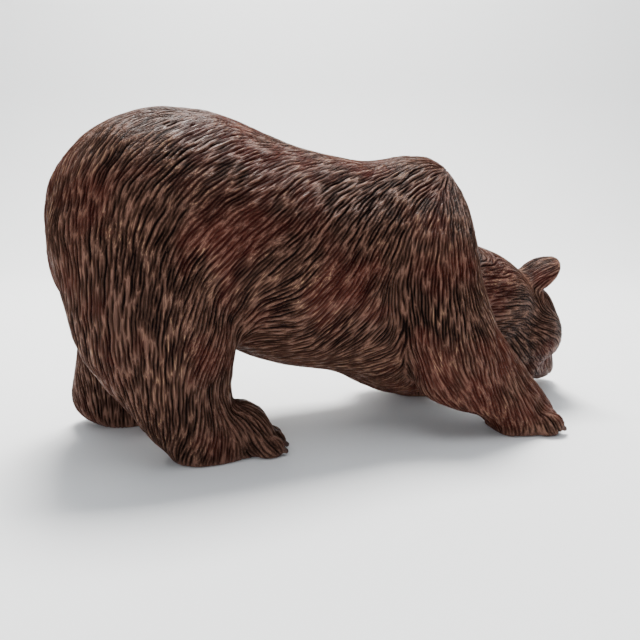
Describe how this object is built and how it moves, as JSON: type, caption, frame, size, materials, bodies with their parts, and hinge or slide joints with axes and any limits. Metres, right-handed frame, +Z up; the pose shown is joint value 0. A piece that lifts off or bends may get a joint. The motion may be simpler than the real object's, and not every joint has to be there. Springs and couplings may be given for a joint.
{
  "type": "carved wooden bear",
  "caption": "Carved hardwood bear on four flat-soled paws, rump high and head lowered with the muzzle turned to its left, gouged fur all over; stands as a small sculpture.",
  "frame": {"origin": "on the ground plane, under the middle of the figure's bounding box", "axes": "+X towards the head along the body, +Y to the bear's left, +Z up"},
  "size_m": [0.342, 0.1336, 0.185],
  "materials": {
    "carved_wood": "dark stained hardwood, gouge-textured fur, thin satin lacquer"
  },
  "bodies": {
    "root": {"bear": "carved_wood"}
  },
  "joints": []
}
